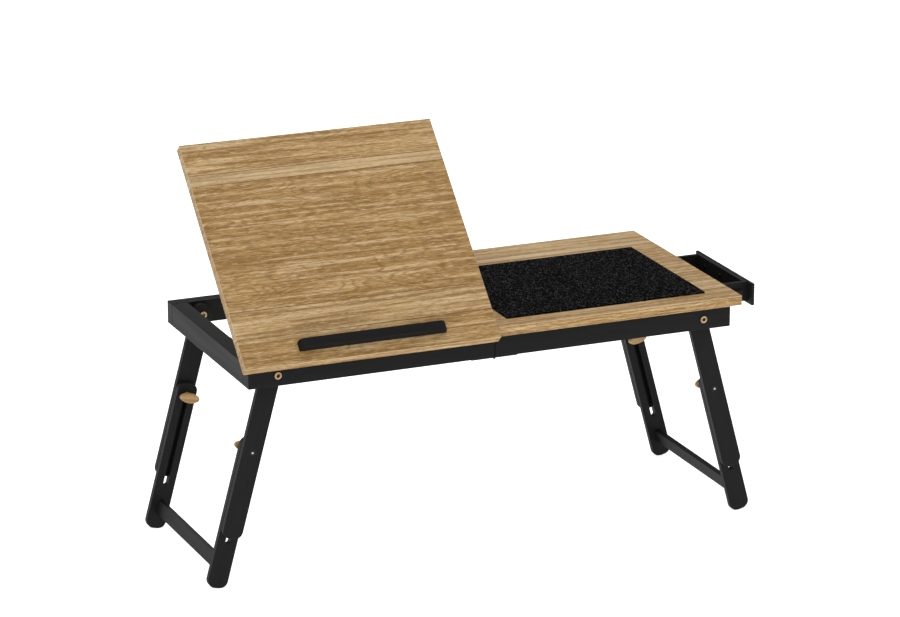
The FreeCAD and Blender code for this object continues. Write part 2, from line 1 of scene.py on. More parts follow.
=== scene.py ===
import bmesh
import bpy
import json
import math
from mathutils import Matrix, Vector
from mathutils.geometry import tessellate_polygon


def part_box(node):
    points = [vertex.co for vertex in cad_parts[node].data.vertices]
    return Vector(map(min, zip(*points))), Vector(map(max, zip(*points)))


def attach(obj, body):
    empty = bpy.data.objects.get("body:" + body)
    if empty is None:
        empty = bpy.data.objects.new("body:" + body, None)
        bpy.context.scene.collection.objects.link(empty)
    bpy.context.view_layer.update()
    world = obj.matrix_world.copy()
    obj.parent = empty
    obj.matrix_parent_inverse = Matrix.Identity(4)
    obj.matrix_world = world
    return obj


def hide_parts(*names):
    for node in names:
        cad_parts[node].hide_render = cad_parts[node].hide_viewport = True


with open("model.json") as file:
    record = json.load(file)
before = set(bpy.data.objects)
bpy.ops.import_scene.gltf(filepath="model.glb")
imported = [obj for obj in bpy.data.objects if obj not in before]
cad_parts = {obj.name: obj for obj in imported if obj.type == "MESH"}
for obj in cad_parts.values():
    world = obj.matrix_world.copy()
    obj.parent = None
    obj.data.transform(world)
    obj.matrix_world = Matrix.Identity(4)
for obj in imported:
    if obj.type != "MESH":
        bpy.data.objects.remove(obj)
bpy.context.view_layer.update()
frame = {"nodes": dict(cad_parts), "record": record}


# Tilting board: a wood panel faced with oak strips of several widths that run from side to side,
# with thin facings above and below a core of the same oak. It stands raised on its front hinges.
class Value:
    """A shader socket. Sums and products of such values add the Math nodes they need."""

    def __init__(self, finish, socket):
        self.finish = finish
        self.socket = socket

    def math(self, operation, *others):
        return self.finish.node("ShaderNodeMath", {"operation": operation}, dict(enumerate((self, *others))))

    def __add__(self, other):
        return self.math("ADD", other)

    def __radd__(self, other):
        return self.math("ADD", other)

    def __sub__(self, other):
        return self.math("SUBTRACT", other)

    def __rsub__(self, other):
        return self.math("MULTIPLY_ADD", -1.0, other)

    def __mul__(self, other):
        return self.math("MULTIPLY", other)

    def __rmul__(self, other):
        return self.math("MULTIPLY", other)

    def over(self, limit):
        """1 where the value is above a limit, 0 elsewhere."""
        return self.math("GREATER_THAN", limit)

    def far_from(self, middle, reach):
        """1 where the value is further than a reach from a middle value, 0 elsewhere."""
        return self.math("SUBTRACT", middle).math("ABSOLUTE").over(reach)

    def spread(self, low, high, to_low=0.0, to_high=1.0):
        """Maps low..high to to_low..to_high with soft ends."""
        inputs = {0: self, 1: low, 2: high, 3: to_low, 4: to_high}
        return self.finish.node("ShaderNodeMapRange", {"interpolation_type": "SMOOTHSTEP"}, inputs)


class Finish:
    """A material under construction."""

    def __init__(self, name):
        self.material = bpy.data.materials.new(name)
        self.material.use_nodes = True
        self.tree = self.material.node_tree
        self.tree.nodes.clear()

    def node(self, kind, settings, inputs, out=0):
        """Adds a node. A colour ramp's stops are given as a setting."""
        made = self.tree.nodes.new(kind)
        for key, value in settings.items():
            if key == "stops":
                while len(made.color_ramp.elements) < len(value):
                    made.color_ramp.elements.new(1.0)
                for element, (place, colour) in zip(made.color_ramp.elements, value):
                    element.position = place
                    element.color = (*colour, 1.0)
            else:
                setattr(made, key, value)
        for key, value in inputs.items():
            if isinstance(value, Value):
                self.tree.links.new(value.socket, made.inputs[key])
            else:
                made.inputs[key].default_value = value
        return Value(self, made.outputs[out]) if len(made.outputs) else None

    def where(self):
        """The point on the piece, in metres."""
        return self.node("ShaderNodeTexCoord", {}, {}, out=3)

    def turned(self, point, centre, axis, degrees):
        """A point turned about an axis through a centre."""
        inputs = {0: point, 1: centre, 2: axis, 3: math.radians(degrees)}
        return self.node("ShaderNodeVectorRotate", {}, inputs)

    def parts(self, point):
        """The X, Y and Z of a point."""
        return [self.node("ShaderNodeSeparateXYZ", {}, {0: point}, out=axis) for axis in range(3)]

    def point(self, x, y, z):
        """The point with this X, Y and Z."""
        return self.node("ShaderNodeCombineXYZ", {}, {0: x, 1: y, 2: z})

    def stretched(self, point, scale):
        """A point scaled along each axis."""
        return self.node("ShaderNodeVectorMath", {"operation": "MULTIPLY"}, {0: point, 1: scale})

    def noise(self, point, scale=1.0, detail=2.0, rough=0.5, twist=0.0):
        """Cloudy values from 0 to 1."""
        inputs = {"Vector": point, "Scale": scale, "Detail": detail, "Roughness": rough, "Distortion": twist}
        return self.node("ShaderNodeTexNoise", {}, inputs)

    def chance(self, number):
        """A steady random value for each whole number."""
        return self.node("ShaderNodeTexWhiteNoise", {"noise_dimensions": "1D"}, {"W": number})

    def ramp(self, factor, *stops):
        """A colour between the stops, each a place and its colour."""
        return self.node("ShaderNodeValToRGB", {"stops": stops}, {0: factor})

    def mixed(self, factor, first, second):
        """The first colour where the factor is 0, the second where it is 1."""
        first, second = [c if isinstance(c, Value) else (*c, 1.0) for c in (first, second)]
        return self.node("ShaderNodeMix", {"data_type": "RGBA"}, {0: factor, 6: first, 7: second}, out=2)

    def relief(self, height, depth, strength=1.0):
        """A normal bent by a height map that is this deep, in metres."""
        return self.node("ShaderNodeBump", {}, {"Height": height, "Distance": depth, "Strength": strength})

    def done(self, **inputs):
        """Closes the material with a surface that has these inputs."""
        named = {key.replace("_", " "): value for key, value in inputs.items()}
        self.node("ShaderNodeOutputMaterial", {}, {0: self.node("ShaderNodeBsdfPrincipled", {}, named)})
        return self.material


nodes = frame["nodes"]


def coat(material, *names):
    """Gives pieces of the frame their material."""
    for name in names:
        nodes[name].data.materials.clear()
        nodes[name].data.materials.append(material)


top_low, top_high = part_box("fixed_top")
# The joints between the strips, from the front edge, and how pale each strip is, from front to back.
oak_joints = (0.0390, 0.0760, 0.2490, 0.2640)
oak_tones = (0.44, 0.62, 0.28, 0.83, 0.57)
oak_light, oak_middle, oak_dark = (0.480, 0.318, 0.140), (0.405, 0.248, 0.094), (0.330, 0.188, 0.060)
oak_streak, oak_pore, oak_pale = (0.185, 0.096, 0.028), (0.100, 0.050, 0.016), (0.660, 0.505, 0.305)
oak_glue = (0.080, 0.042, 0.015)
oak_facing, oak_glue_half = 0.0018, 0.0002
# Width of the pale painted highlight just under the top edge, and its gap below the top.
oak_edge_highlight, oak_edge_highlight_drop = 0.0013, 0.0001


def oak(name, lie_flat, shift, lift, line_half):
    """Oak strips along X, with a pale painted highlight just under the top edge.

    lie_flat gives where a point on the piece is when the top is level. shift picks another figure
    for each strip, lift makes all strips paler, and line_half is half the width of their joints.
    """
    finish = Finish(name)
    x, y, z = finish.parts(lie_flat(finish))
    depth = y - top_low.y
    past = [depth.over(line) for line in oak_joints]
    changes = [after - before for before, after in zip(oak_tones, oak_tones[1:])]
    tone = sum((crossed * change for crossed, change in zip(past, changes)), oak_tones[0] + lift)
    luck = finish.chance(sum(past) + shift)
    along = x + luck * 7.0
    wave = finish.noise(finish.point(along * 45.0, depth * 45.0, z * 45.0), 1.0, 2.0, 0.55)
    across = depth + wave * (1.25 - tone) * 0.0040
    broad = finish.noise(finish.point(along * 6.0, across * 55.0, z * 55.0), 1.0, 3.0, 0.6, 0.4)
    swirl = finish.noise(finish.point(along * 7.5, across * 34.0, z * 34.0), 1.0, 2.0, 0.42, 0.3)
    fine = finish.noise(finish.point(along * 90.0, across * 950.0, z * 950.0), 1.0, 2.0, 0.6, 0.3)
    long = finish.noise(finish.point(along * 6.5, depth * 240.0, z * 240.0), 1.0, 3.0, 0.6, 0.2)
    pores = finish.noise(finish.point(along * 150.0, depth * 1500.0, z * 1500.0), 1.0, 2.0, 0.55, 0.2)
    rings = (swirl * 30.0 + fine * 1.5).math("PINGPONG", 1.0)
    dashes = pores.spread(0.55, 0.66) * broad.spread(0.30, 0.60, 0.35, 1.0)
    wood = finish.ramp(broad - (tone - 0.45) * 0.30, (0.30, oak_light), (0.50, oak_middle), (0.74, oak_dark))
    wood = finish.mixed(long.spread(0.51, 0.59) * (tone * 0.75 + 0.26), wood, oak_streak)
    wood = finish.mixed(long.spread(0.36, 0.48, 0.55, 0.0), wood, oak_pale)
    wood = finish.mixed(rings.spread(0.45, 1.0) * (1.05 - tone) * 0.70, wood, oak_streak)
    wood = finish.mixed(fine.spread(0.53, 0.66) * 0.60, wood, oak_streak)
    wood = finish.mixed(fine.spread(0.32, 0.45, 0.50, 0.0), wood, oak_pale)
    wood = finish.mixed(tone.spread(0.50, 1.0, 0.0, 0.46), wood, oak_pale)
    wood = finish.mixed(dashes * 0.40, wood, oak_pore)
    # Painted highlight: a pale band on the edge faces just under the top, where a rounded edge would catch
    # the light.
    edge_highlight = 1.0 - z.far_from(top_high.z - oak_edge_highlight_drop - oak_edge_highlight / 2, oak_edge_highlight / 2)
    wood = finish.mixed(edge_highlight * 0.50, wood, oak_pale)
    joint = depth.far_from(oak_joints[0], line_half)
    for line in oak_joints[1:]:
        joint = joint * depth.far_from(line, line_half)
    for height in (top_high.z - oak_facing, top_low.z + oak_facing):
        joint = joint * z.far_from(height, oak_glue_half)
    wood = finish.mixed((1.0 - joint) * 0.75, wood, oak_glue)
    relief = finish.relief(joint * 0.8 - fine * 0.4 - dashes * 0.6, 0.00008, 0.8)
    return finish.done(Base_Color=wood, Roughness=dashes.spread(0.0, 1.0, 0.46, 0.62), Normal=relief,
                       Specular_IOR_Level=0.14)


joints = {joint["name"]: joint for joint in frame["record"]["behaviour"]["joints"]}
board_tilt = -joints["panel_tilt"]["range_deg"][0]
board_hinge = Vector(joints["panel_tilt"]["pos_m"])


def laid_flat(finish):
    """Where a point on the raised board is when the board lies flat."""
    return finish.turned(finish.where(), board_hinge, (1, 0, 0), -board_tilt)


coat(oak("oak_board", laid_flat, shift=3.0, lift=0.0, line_half=0.0004), "tilt_board")


# Fixed top: a level panel with the same oak strips, glued over the right half of the frame. The
# joints between its strips are wider than the board's.
coat(oak("oak_fixed_top", Finish.where, shift=11.0, lift=0.08, line_half=0.0009), "fixed_top")


# Mouse pad: a thin mat of pressed dark felt laid on the fixed top, 266 by 210 mm and 2 mm thick.
# Its face is a dense nap with pale flecks and short hairs standing out of it, and its edge is cut clean.
def felt(name, base, fleck, share):
    """Pressed fibre. share is how much of it is pale, in bluish and brownish flecks."""
    finish = Finish(name)
    point = finish.where()
    clumps = finish.noise(point, 700.0, 3.0, 0.7)
    fuzz = finish.noise(point, 2400.0, 2.0, 0.6)
    cell = {"Vector": finish.stretched(point, (1.0, 0.6, 1.0)), "Scale": 980.0, "Randomness": 1.0}
    lot, hue = finish.parts(finish.node("ShaderNodeTexVoronoi", {}, cell, out=1))[:2]
    pale = lot.spread(1.0 - share, 1.0 - share * 0.45) * fuzz.spread(0.36, 0.56, 0.35, 1.0)
    tint = finish.mixed(hue, [fleck * 0.78, fleck, fleck * 1.30], [fleck * 1.25, fleck, fleck * 0.74])
    colour = finish.mixed(clumps.spread(0.35, 0.70), [c * 0.45 for c in base], base)
    colour = finish.mixed(pale, colour, tint)
    relief = finish.relief(fuzz * 0.5 + clumps * 0.8, 0.0005, 0.8)
    return finish.done(Base_Color=colour, Roughness=fuzz.spread(0.2, 0.8, 0.90, 1.0), Normal=relief,
                       Specular_IOR_Level=0.03)


def made_object(name, mesh, material, body):
    """A finished mesh that rides on a body of the frame."""
    mesh.name = name
    mesh.materials.clear()
    mesh.materials.append(material)
    piece = bpy.data.objects.new(name, mesh)
    bpy.context.scene.collection.objects.link(piece)
    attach(piece, body)
    return piece


def mesh_of(sketch, smooth_under=40.0):
    """A plain mesh from a bmesh sketch, smooth except at sharp edges."""
    mesh = bpy.data.meshes.new("sketch")
    sketch.to_mesh(mesh)
    sketch.free()
    mesh.polygons.foreach_set("use_smooth", [True] * len(mesh.polygons))
    mesh.set_sharp_from_angle(angle=math.radians(smooth_under))
    return mesh


def rounded_outline(low, high, radius, steps=6):
    """Points round a rectangle with rounded corners."""
    points = []
    corners = ((high.x, high.y, 0), (low.x, high.y, 90), (low.x, low.y, 180), (high.x, low.y, 270))
    for x, y, start in corners:
        inward = Vector((-1 if x == high.x else 1, -1 if y == high.y else 1)) * radius
        for step in range(steps + 1):
            angle = math.radians(start + 90 * step / steps)
            points.append((x + inward.x + radius * math.cos(angle), y + inward.y + radius * math.sin(angle)))
    return points


def walled(sketch, loops):
    """Joins loops of corners one above the other into a wall that faces outwards."""
    for lower, upper in zip(loops, loops[1:]):
        count = len(lower)
        for i in range(count):
            sketch.faces.new((lower[i], lower[(i + 1) % count], upper[(i + 1) % count], upper[i]))


def mat_slab(low, high, corner, edge, edge_steps=4):
    """A flat slab with rounded corners and a rounded upper edge."""
    sketch = bmesh.new()
    rings = [(0.0, low.z)]
    for step in range(edge_steps + 1):
        angle = math.radians(90 * step / edge_steps)
        rings.append((edge * (1 - math.cos(angle)), high.z - edge + edge * math.sin(angle)))
    loops = []
    for inset, z in rings:
        inner_low, inner_high = low + Vector((inset, inset, 0)), high - Vector((inset, inset, 0))
        outline = rounded_outline(inner_low, inner_high, max(corner - inset, 0.0001))
        loops.append([sketch.verts.new((x, y, z)) for x, y in outline])
    walled(sketch, loops)
    sketch.faces.new(loops[-1])
    sketch.faces.new(list(reversed(loops[0])))
    return mesh_of(sketch)


def hair_mesh(length, width, lean=0.55, pieces=3):
    """One short bent fibre that stands on its root."""
    sketch = bmesh.new()
    rows = []
    for i in range(pieces + 1):
        share = i / pieces
        half = width * (1 - 0.75 * share) / 2
        x = math.sin(lean * share) * length * share
        z = math.cos(lean * share) * length * share
        rows.append([sketch.verts.new((x, side * half, z)) for side in (-1, 1)])
    for lower, upper in zip(rows, rows[1:]):
        sketch.faces.new((lower[0], lower[1], upper[1], upper[0]))
    return mesh_of(sketch)


def node_group(name, *sockets):
    """An empty geometry node group with named inputs."""
    group = bpy.data.node_groups.new(name, "GeometryNodeTree")
    for label, kind in sockets:
        group.interface.new_socket(name=label, in_out="INPUT", socket_type=kind)
    group.interface.new_socket(name="Geometry", in_out="OUTPUT", socket_type="NodeSocketGeometry")
    return group


def wired(group, kind, inputs, **settings):
    """Adds a node to a geometry node group. Inputs are values or (node, output) pairs."""
    made = group.nodes.new(kind)
    for key, value in settings.items():
        setattr(made, key, value)
    for key, value in inputs.items():
        if isinstance(value, tuple) and hasattr(value[0], "outputs"):
            group.links.new(value[0].outputs[value[1]], made.inputs[key])
        else:
            made.inputs[key].default_value = value
    return made


def close_off(group, given, placed):
    """Ends a geometry node group: its instances are made real and get their material."""
    real = wired(group, "GeometryNodeRealizeInstances", {"Geometry": (placed, "Instances")})
    dressing = {"Geometry": (real, 0), "Material": (given, "Material")}
    dressed = wired(group, "GeometryNodeSetMaterial", dressing)
    wired(group, "NodeGroupOutput", {"Geometry": (dressed, 0)})


def grown(base_mesh, group, values, material):
    """The plain mesh that a geometry node group makes of a base mesh."""
    holder = bpy.data.objects.new("holder", base_mesh)
    bpy.context.scene.collection.objects.link(holder)
    modifier = holder.modifiers.new("grow", "NODES")
    modifier.node_group = group
    keys = {item.name: item.identifier for item in group.interface.items_tree if item.in_out == "INPUT"}
    for label, value in (*values.items(), ("Material", material)):
        modifier[keys[label]] = value
    holder.update_tag()
    bpy.context.view_layer.update()
    graph = bpy.context.evaluated_depsgraph_get()
    mesh = bpy.data.meshes.new_from_object(holder.evaluated_get(graph))
    bpy.data.objects.remove(holder)
    return mesh


nap_group = node_group(
    "Nap", ("Geometry", "NodeSocketGeometry"), ("Hair", "NodeSocketObject"),
    ("Hairs per area", "NodeSocketFloat"), ("Shortest", "NodeSocketFloat"), ("Longest", "NodeSocketFloat"),
    ("Seed", "NodeSocketInt"), ("Material", "NodeSocketMaterial"))
given = wired(nap_group, "NodeGroupInput", {})
scatter = wired(nap_group, "GeometryNodeDistributePointsOnFaces",
                {"Mesh": (given, "Geometry"), "Density": (given, "Hairs per area"), "Seed": (given, "Seed")})
hair = wired(nap_group, "GeometryNodeObjectInfo", {"Object": (given, "Hair")})
spin_range = {0: (-0.5, -0.5, 0.0), 1: (0.5, 0.5, math.tau), "Seed": (given, "Seed")}
spin = wired(nap_group, "FunctionNodeRandomValue", spin_range, data_type="FLOAT_VECTOR")
stature = wired(nap_group, "FunctionNodeRandomValue",
                {2: (given, "Shortest"), 3: (given, "Longest"), "Seed": (given, "Seed")}, data_type="FLOAT")
planted = wired(nap_group, "GeometryNodeInstanceOnPoints",
                {"Points": (scatter, "Points"), "Instance": (hair, "Geometry"), "Rotation": (spin, 0),
                 "Scale": (stature, 1)})
close_off(nap_group, given, planted)

pad_low, pad_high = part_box("mouse_pad")
pad_felt = felt("felt_black", (0.0008, 0.0008, 0.0009), fleck=0.058, share=0.20)
pad_slab = mat_slab(pad_low, pad_high, corner=0.0015, edge=0.0006)
pad = made_object("mouse_pad_felt", pad_slab, pad_felt, "right_frame")
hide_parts("mouse_pad")
nap_inset, nap_root = 0.0012, 0.0004
nap_left, nap_right = pad_low.x + nap_inset, pad_high.x - nap_inset
nap_front, nap_back = pad_low.y + nap_inset, pad_high.y - nap_inset
nap_corners = ((nap_left, nap_front), (nap_right, nap_front), (nap_right, nap_back), (nap_left, nap_back))
nap_field = bmesh.new()
nap_field.faces.new([nap_field.verts.new((x, y, pad_high.z - nap_root)) for x, y in nap_corners])
hair_felt = felt("felt_hair", (0.0010, 0.0010, 0.0011), fleck=0.058, share=0.18)
hair_pattern = bpy.data.objects.new("hair_pattern", hair_mesh(length=0.0008, width=0.00012))
nap_sizes = {"Hair": hair_pattern, "Hairs per area": 250000.0, "Shortest": 0.55, "Longest": 1.2, "Seed": 11}
nap_mesh = grown(mesh_of(nap_field), nap_group, nap_sizes, hair_felt)
nap = made_object("mouse_pad_nap", nap_mesh, hair_felt, "right_frame")


# Ledge: a black-lacquered hardwood bar with rounded-over ends near the board's front edge, screwed on
# from below. The heads of its three screws lie flush in the board's underside.
def lacquer(name, base, lie_straight, long_axis, gloss=0.44, depth=0.00005):
    """Black-stained wood under a thin matte coat. Its grain runs along one axis."""
    finish = Finish(name)
    point = lie_straight(finish)
    stretch = [900.0, 900.0, 900.0]
    stretch[long_axis] = 28.0
    fibres = finish.noise(finish.stretched(point, tuple(stretch)), 1.0, 3.0, 0.62, 0.2)
    broad = [70.0, 70.0, 70.0]
    broad[long_axis] = 4.0
    bands = finish.noise(finish.stretched(point, tuple(broad)), 1.0, 2.0, 0.5, 0.4)
    mist = finish.noise(point, 2600.0, 1.0, 0.5)
    colour = finish.mixed(fibres.spread(0.35, 0.75) * 0.45, base, [c * 1.4 + 0.001 for c in base])
    colour = finish.mixed(bands.spread(0.40, 0.80) * 0.25, colour, [c * 0.60 for c in base])
    relief = finish.relief(fibres * 0.8 + mist * 0.25, depth, 0.8)
    rough = bands.spread(0.2, 0.8, gloss, gloss + 0.08)
    return finish.done(Base_Color=colour, Roughness=rough, Normal=relief, Specular_IOR_Level=0.06)


def metal(name, base, tint, gloss, brushed, depth=0.00002, recess=False):
    """Bare metal with fine rubbing marks and a cloudy tarnish, with painted shade in a screw's recess."""
    finish = Finish(name)
    point = finish.where()
    marks = finish.noise(finish.stretched(point, brushed), 1.0, 3.0, 0.6)
    cloud = finish.noise(point, 210.0, 3.0, 0.6, 0.4)
    colour = finish.mixed(cloud.spread(0.35, 0.75), base, tint)
    if recess:
        # Painted shade: the floor of a screw's cross recess is coloured near black.
        recess_shade_mask = finish.node("ShaderNodeAttribute", {"attribute_name": "recess"}, {}, out=2)
        colour = finish.mixed(recess_shade_mask, colour, (0.012, 0.012, 0.012))
    rough = marks.spread(0.3, 0.7, gloss - 0.05, gloss + 0.07) + cloud.spread(0.4, 0.8, 0.0, 0.10)
    relief = finish.relief(marks, depth, 0.6)
    return finish.done(Base_Color=colour, Metallic=1.0, Roughness=rough, Normal=relief)


def screw_head(radius, rise, arm_reach, arm_half, sides=28):
    """A low screw head that faces up from the origin, with a cross recess whose floor is marked for painted
    shade.
    """
    sketch = bmesh.new()
    recess = sketch.verts.layers.float.new("recess")

    def ring(reach, z):
        turns = [math.tau * i / sides for i in range(sides)]
        return [sketch.verts.new((reach * math.cos(a), reach * math.sin(a), z)) for a in turns]

    def cross(z, mark):
        made = []
        for quarter in range(4):
            turn = Matrix.Rotation(math.radians(90 * quarter), 3, "Z")
            for x, y in ((arm_reach, -arm_half), (arm_reach, arm_half), (arm_half, arm_half)):
                corner = sketch.verts.new(turn @ Vector((x, y, z)))
                corner[recess] = mark
                made.append(corner)
        return made

    skirt, shoulder, crown = ring(radius, -0.0002), ring(radius, rise * 0.45), ring(radius * 0.82, rise)
    walled(sketch, [skirt, shoulder, crown])
    # The recess floor is marked 1, where the painted shade goes.
    rim, floor = cross(rise, 0.0), cross(rise * 0.3, 1.0)
    walled(sketch, [rim, floor])
    for loops in ([crown, rim[::-1]], [floor]):
        corners = [corner for loop in loops for corner in loop]
        for triangle in tessellate_polygon([[corner.co for corner in loop] for loop in loops]):
            face = sketch.faces.new([corners[i] for i in triangle])
            face.normal_update()
            if face.normal.z < 0:
                face.normal_flip()
    return mesh_of(sketch, 30.0)


fastener_group = node_group(
    "Fasteners", ("Geometry", "NodeSocketGeometry"), ("Fastener", "NodeSocketObject"),
    ("Size", "NodeSocketFloat"), ("Seed", "NodeSocketInt"), ("Material", "NodeSocketMaterial"))
given = wired(fastener_group, "NodeGroupInput", {})
facing = wired(fastener_group, "GeometryNodeInputNamedAttribute", {"Name": "facing"},
               data_type="FLOAT_VECTOR")
upright = wired(fastener_group, "FunctionNodeAlignRotationToVector", {"Vector": (facing, "Attribute")},
                axis="Z")
quarter = wired(fastener_group, "FunctionNodeRandomValue", {2: 0.0, 3: math.tau, "Seed": (given, "Seed")},
                data_type="FLOAT")
driven = wired(fastener_group, "FunctionNodeAxisAngleToRotation", {"Axis": (0, 0, 1), "Angle": (quarter, 1)})
turned = wired(fastener_group, "FunctionNodeRotateRotation",
               {"Rotation": (upright, 0), "Rotate By": (driven, 0)}, rotation_space="LOCAL")
part = wired(fastener_group, "GeometryNodeObjectInfo", {"Object": (given, "Fastener")})
placed = wired(fastener_group, "GeometryNodeInstanceOnPoints",
               {"Points": (given, "Geometry"), "Instance": (part, "Geometry"), "Rotation": (turned, 0),
                "Scale": (given, "Size")})
close_off(fastener_group, given, placed)


def fastened(name, pattern, spots, body, material, seed, size=1.0):
    """A piece made of one fastener at each spot. A spot is a place and the way the head faces."""
    mesh = bpy.data.meshes.new("spots")
    mesh.from_pydata([place for place, way in spots], [], [])
    facing_of = mesh.attributes.new("facing", "FLOAT_VECTOR", "POINT")
    facing_of.data.foreach_set("vector", [part for place, way in spots for part in way])
    sizes = {"Fastener": pattern, "Size": size, "Seed": seed}
    return made_object(name, grown(mesh, fastener_group, sizes, material), material, body)


def raised(point):
    """Where a point of the level board goes when the board is tilted."""
    return board_hinge + Matrix.Rotation(math.radians(board_tilt), 3, "X") @ (Vector(point) - board_hinge)


up, down = Vector((0, 0, 1)), Vector((0, 0, -1))
board_down = Matrix.Rotation(math.radians(board_tilt), 3, "X") @ down
ledge_black = (0.0100, 0.0100, 0.0102)
coat(lacquer("black_ledge", ledge_black, Finish.where, long_axis=0, gloss=0.38), "laptop_ledge")
zinc_bright, zinc_dull = (0.600, 0.600, 0.610), (0.430, 0.435, 0.450)
screw_bright, screw_dull = (0.560, 0.560, 0.570), (0.400, 0.405, 0.420)
zinc = metal("zinc", zinc_bright, zinc_dull, 0.34, (300.0, 2600.0, 2600.0))
screw_zinc = metal("screw_zinc", screw_bright, screw_dull, 0.32, (1500.0, 1500.0, 1500.0), recess=True)
coat(zinc, "ledge_screws")
flush_head = screw_head(radius=0.0026, rise=0.00011, arm_reach=0.0015, arm_half=0.00035)
flush_screw = bpy.data.objects.new("flush_screw", flush_head)
screws_low, screws_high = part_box("ledge_screws")
ledge_screw_head, ledge_screw_inset = 0.0036, 0.02135
ledge_screw_middle = (screws_low.x + screws_high.x) / 2
ledge_screw_spread = (screws_high.x - screws_low.x) / 2 - ledge_screw_head
board_gap = 0.0003
board_bottom = top_low.z + board_gap
ledge_spots = []
for step in (-1, 0, 1):
    x = ledge_screw_middle + step * ledge_screw_spread
    ledge_spots.append((raised((x, top_low.y + ledge_screw_inset, board_bottom)), board_down))
fastened("ledge_screw_crosses", flush_screw, ledge_spots, "tilt_panel", screw_zinc, 3, 1.3)


# Frame rails: black-stained wood bars. The long ones run from side to side, the end and seam ones
# from front to back, each with its grain along its length.
black = (0.0112, 0.0112, 0.0114)
black_x = lacquer("black_wood_x", black, Finish.where, long_axis=0)
black_y = lacquer("black_wood_y", black, Finish.where, long_axis=1)
coat(black_x, "left_front_rail", "left_rear_rail", "right_front_rail", "right_rear_rail")
coat(black_y, "left_end_rail", "left_mid_rail", "right_mid_rail")
coat(black_y, "right_end_block_front", "right_end_block_rear")


# Legs: flat black bars with rounded ends, splayed 15 degrees, the lower ones slotted and sliding
# along the upper ones, with a bar across each pair.
leg_turn = {"left": -15.0, "right": 15.0}
leg_pivot = {end: Vector(joints[f"{end}_leg_fold"]["pos_m"]) for end in leg_turn}


def hung(end):
    """Turns a point on a leg to where it is when the leg hangs straight down."""
    return lambda finish: finish.turned(finish.where(), leg_pivot[end], (0, 1, 0), leg_turn[end])


for end in leg_turn:
    leg_black = lacquer(f"black_leg_{end}", black, hung(end), long_axis=2)
    for bank in ("front", "rear"):
        coat(leg_black, f"{end}_{bank}_upper_leg", f"{end}_{bank}_lower_leg")
    coat(black_y, f"{end}_crossbar")


# Clamp knobs: oval hardwood nuts on a round neck, oiled and unstained, with their grain along the oval.
# Each screws onto a clamp bolt and draws the lower leg against the upper one.
def hardwood(name, lie_straight):
    """Oiled wood with its grain along X and fine dark dashes."""
    finish = Finish(name)
    point = lie_straight(finish)
    fibres = finish.noise(finish.stretched(point, (120.0, 1500.0, 1500.0)), 1.0, 3.0, 0.6, 0.3)
    rings = finish.noise(finish.stretched(point, (20.0, 160.0, 160.0)), 1.0, 2.0, 0.5, 0.6)
    dashes = fibres.spread(0.56, 0.72)
    colour = finish.ramp(rings, (0.30, (0.455, 0.288, 0.112)), (0.55, (0.345, 0.206, 0.071)),
                         (0.80, (0.250, 0.136, 0.042)))
    colour = finish.mixed(dashes * 0.55, colour, (0.160, 0.082, 0.028))
    return finish.done(Base_Color=colour, Roughness=fibres.spread(0.3, 0.7, 0.42, 0.58),
                       Normal=finish.relief(fibres, 0.00007, 0.7), Coat_Weight=0.06, Coat_Roughness=0.35)


for end in leg_turn:
    coat(hardwood(f"knob_wood_{end}", hung(end)), f"{end}_front_knob", f"{end}_rear_knob")


# Pivot bolts: brass socket-head bolts through the long rails into brass nuts, lightly tarnished,
# with painted shade in their sockets.
# Radii from the bolt's axis where the painted shade of the socket fades out, and where the head's rim is.
socket_shade_reach, head_edge = (0.0016, 0.0026), (0.0036, 0.0045)


def socketed(name, end):
    """Tarnished brass with painted shade inside the socket of a bolt on one leg's pivot."""
    finish = Finish(name)
    point = finish.where()
    x, y, z = finish.parts(point)
    aside, above = x - leg_pivot[end].x, z - leg_pivot[end].z
    reach = (aside * aside + above * above).math("SQRT")
    marks = finish.noise(point, 900.0, 3.0, 0.6)
    cloud = finish.noise(point, 260.0, 3.0, 0.6, 0.4)
    colour = finish.mixed(cloud.spread(0.35, 0.75), (0.400, 0.305, 0.175), (0.270, 0.190, 0.098))
    # Painted shade: dark brown inside the socket, fading out towards its rim.
    colour = finish.mixed(reach.spread(*socket_shade_reach, 0.85, 0.0), colour, (0.060, 0.030, 0.010))
    colour = finish.mixed(reach.spread(*head_edge, 0.0, 0.45), colour, (0.160, 0.100, 0.046))
    rough = marks.spread(0.3, 0.7, 0.30, 0.42) + cloud.spread(0.4, 0.8, 0.0, 0.12)
    relief = finish.relief(marks, 0.00002, 0.6)
    return finish.done(Base_Color=colour, Metallic=1.0, Roughness=rough, Normal=relief)


for end in leg_turn:
    coat(socketed(f"brass_{end}", end), f"{end}_pivot_bolts", f"{end}_pivot_nuts")


# Clamp bolts: blackened steel, their heads flush in the upper legs, each with a bright riveted pin
# at its middle.
def dome(radius, rise, sides=24, steps=5):
    """A shallow round cap that faces up from the origin."""
    sketch = bmesh.new()
    loops = []
    for step in range(steps):
        lift = math.radians(90 * step / steps)
        reach, z = radius * math.cos(lift), rise * math.sin(lift) - (0.0002 if step == 0 else 0.0)
        turns = [math.tau * i / sides for i in range(sides)]
        loops.append([sketch.verts.new((reach * math.cos(a), reach * math.sin(a), z)) for a in turns])
    walled(sketch, loops)
    crown = sketch.verts.new((0, 0, rise))
    for i in range(sides):
        sketch.faces.new((loops[-1][i], loops[-1][(i + 1) % sides], crown))
    return mesh_of(sketch)


